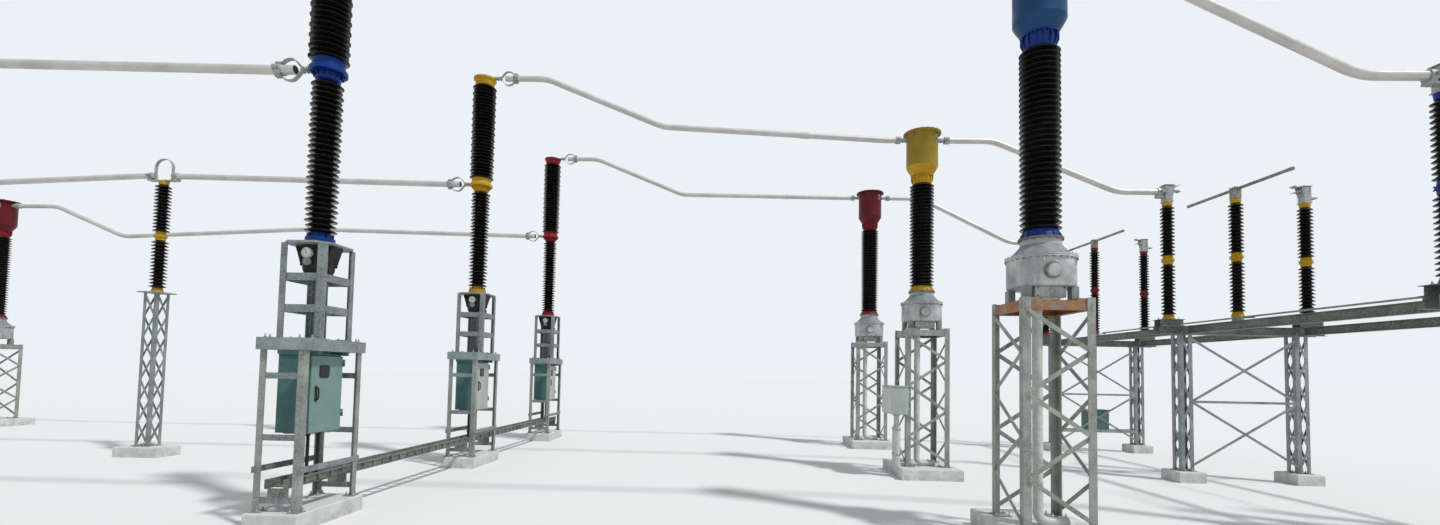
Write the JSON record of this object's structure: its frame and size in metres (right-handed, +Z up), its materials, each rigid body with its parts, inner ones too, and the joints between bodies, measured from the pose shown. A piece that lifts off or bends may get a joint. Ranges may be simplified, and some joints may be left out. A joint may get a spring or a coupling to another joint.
{
  "type": "substation switchgear bay",
  "caption": "Three-phase outdoor switchgear bay: live-tank breakers, current transformers, posts and turning-post disconnectors on lattice stands, joined by tubes",
  "frame": {"origin": "on the ground under the middle of the yellow phase's breaker plinth", "axes": "+X along the bay from breaker to disconnector, +Y from the blue phase to the red phase, +Z up"},
  "size_m": [32.46, 11.41, 7.845],
  "materials": {
    "concrete": "painted concrete, worn",
    "galvanised_steel": "hot-dip galvanised, weathered",
    "dark_castings": "dark painted castings",
    "gauge_white": "white gauge cases",
    "porcelain": "dark glaze",
    "cabinet_green": "teal green paint",
    "door_green": "pale green paint",
    "tank_grey": "light grey paint, weathered",
    "box_grey": "grey paint",
    "grey_pipe": "grey pipe",
    "phase_blue": "blue paint",
    "phase_yellow": "ochre yellow paint",
    "phase_red": "red paint",
    "contact_aluminium": "cast aluminium",
    "tube_aluminium": "weathered aluminium tube"
  },
  "bodies": {
    "bay": {"plinths": "concrete", "breaker_legs": "galvanised_steel", "breaker_frame_bars": "galvanised_steel", "breaker_ring_beams": "galvanised_steel", "breaker_upper_frames": "galvanised_steel", "breaker_top_plates": "galvanised_steel", "crank_drives": "dark_castings", "gas_gauges": "gauge_white", "support_insulators": "porcelain", "interrupters": "porcelain", "cabinet_shells": "cabinet_green", "cable_tray": "galvanised_steel", "ct_towers": "galvanised_steel", "ct_top_frames": "galvanised_steel", "ct_tanks": "tank_grey", "ct_insulators": "porcelain", "drive_columns": "galvanised_steel", "ct_heads_blue": "phase_blue", "ct_heads_yellow": "phase_yellow", "ct_heads_red": "phase_red", "cable_pipes": "grey_pipe", "ct_junction_box": "box_grey", "post_towers": "galvanised_steel", "post_insulators": "porcelain", "disconnector_insulators": "porcelain", "insulator_flanges_blue": "phase_blue", "insulator_flanges_yellow": "phase_yellow", "insulator_flanges_red": "phase_red", "disconnector_towers": "galvanised_steel", "disconnector_bracing": "galvanised_steel", "disconnector_base_frames": "galvanised_steel", "disconnector_ties": "galvanised_steel", "disconnector_contacts": "contact_aluminium", "drive_box": "cabinet_green", "drive_box_bars": "galvanised_steel", "tubes_over_road": "tube_aluminium", "tubes_to_disconnector": "tube_aluminium", "tubes_left": "tube_aluminium", "breaker_terminals": "contact_aluminium", "ct_terminals": "contact_aluminium", "tube_clamps": "contact_aluminium", "expansion_loops": "contact_aluminium", "post_saddles": "contact_aluminium", "post_arches": "contact_aluminium"},
    "door_blue": {"cabinet_door_blue": "door_green"},
    "rotor_blue": {"rotor_insulator_blue": "porcelain", "rotor_flanges_blue": "phase_blue", "rotor_crank_blue": "galvanised_steel", "disconnector_blade_blue": "tube_aluminium"},
    "door_yellow": {"cabinet_door_yellow": "door_green"},
    "rotor_yellow": {"rotor_insulator_yellow": "porcelain", "rotor_flanges_yellow": "phase_yellow", "rotor_crank_yellow": "galvanised_steel", "disconnector_blade_yellow": "tube_aluminium"},
    "door_red": {"cabinet_door_red": "door_green"},
    "rotor_red": {"rotor_insulator_red": "porcelain", "rotor_flanges_red": "phase_red", "rotor_crank_red": "galvanised_steel", "disconnector_blade_red": "tube_aluminium"},
    "gang": {"gang_rod": "galvanised_steel"}
  },
  "joints": [
    {"name": "door_hinge_blue", "type": "hinge", "parent": "bay", "child": "door_blue", "pos_m": [0.186, -4.2145, 1.54], "axis": [0, 0, 1], "range_deg": [0, 110]},
    {"name": "rotor_turn_blue", "type": "hinge", "parent": "bay", "child": "rotor_blue", "pos_m": [14.69, -4.5, 3.093], "axis": [0, 0, 1], "range_deg": [0, 90]},
    {"name": "door_hinge_yellow", "type": "hinge", "parent": "bay", "child": "door_yellow", "pos_m": [0.186, 0.2855, 1.54], "axis": [0, 0, 1], "range_deg": [0, 110]},
    {"name": "rotor_turn_yellow", "type": "hinge", "parent": "bay", "child": "rotor_yellow", "pos_m": [14.69, 0, 3.093], "axis": [0, 0, 1], "range_deg": [0, 90]},
    {"name": "door_hinge_red", "type": "hinge", "parent": "bay", "child": "door_red", "pos_m": [0.186, 4.7855, 1.54], "axis": [0, 0, 1], "range_deg": [0, 110]},
    {"name": "rotor_turn_red", "type": "hinge", "parent": "bay", "child": "rotor_red", "pos_m": [14.69, 4.5, 3.093], "axis": [0, 0, 1], "range_deg": [0, 90]},
    {"name": "gang_rod_slide", "type": "slide", "parent": "bay", "child": "gang", "axis": [0, 1, 0], "range_m": [0, 0.3111]}
  ],
  "couplings": [
    {"joint": "rotor_turn_yellow", "follows": "rotor_turn_red", "ratio": 1},
    {"joint": "rotor_turn_blue", "follows": "rotor_turn_red", "ratio": 1},
    {"joint": "gang_rod_slide", "follows": "rotor_turn_red", "m_per_rad": 0.198}
  ]
}
